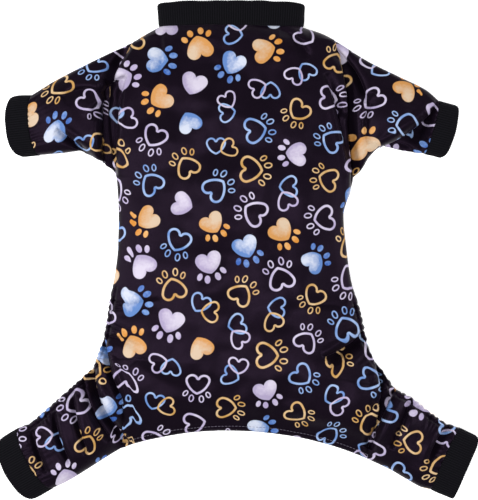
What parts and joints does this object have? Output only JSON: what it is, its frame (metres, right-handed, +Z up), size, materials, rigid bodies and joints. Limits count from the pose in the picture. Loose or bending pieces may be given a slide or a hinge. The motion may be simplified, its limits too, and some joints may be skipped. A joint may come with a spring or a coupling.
{
  "type": "dog jumpsuit",
  "caption": "Four-legged jumpsuit for a small dog in dark paw-and-heart knit, with ribbed collar and cuffs, laid flat belly down.",
  "frame": {"origin": "middle of the laid garment's outline, on the floor that it lies on", "axes": "+Z up out of the dog's back, +Y to the neck, -X to the dog's left"},
  "size_m": [0.4314, 0.4486, 0.038],
  "materials": {
    "printed_knit": "soft satin knit, near-black plum ground with a print of paws and hearts",
    "black_rib": "matt black rib knit"
  },
  "bodies": {
    "root": {"back_panel": "printed_knit", "belly_panel": "printed_knit", "sleeve_left": "printed_knit", "sleeve_right": "printed_knit", "leg_left": "printed_knit", "leg_right": "printed_knit", "collar": "black_rib", "sleeve_cuff_left": "black_rib", "sleeve_cuff_right": "black_rib", "leg_cuff_left": "black_rib", "leg_cuff_right": "black_rib"}
  },
  "joints": []
}
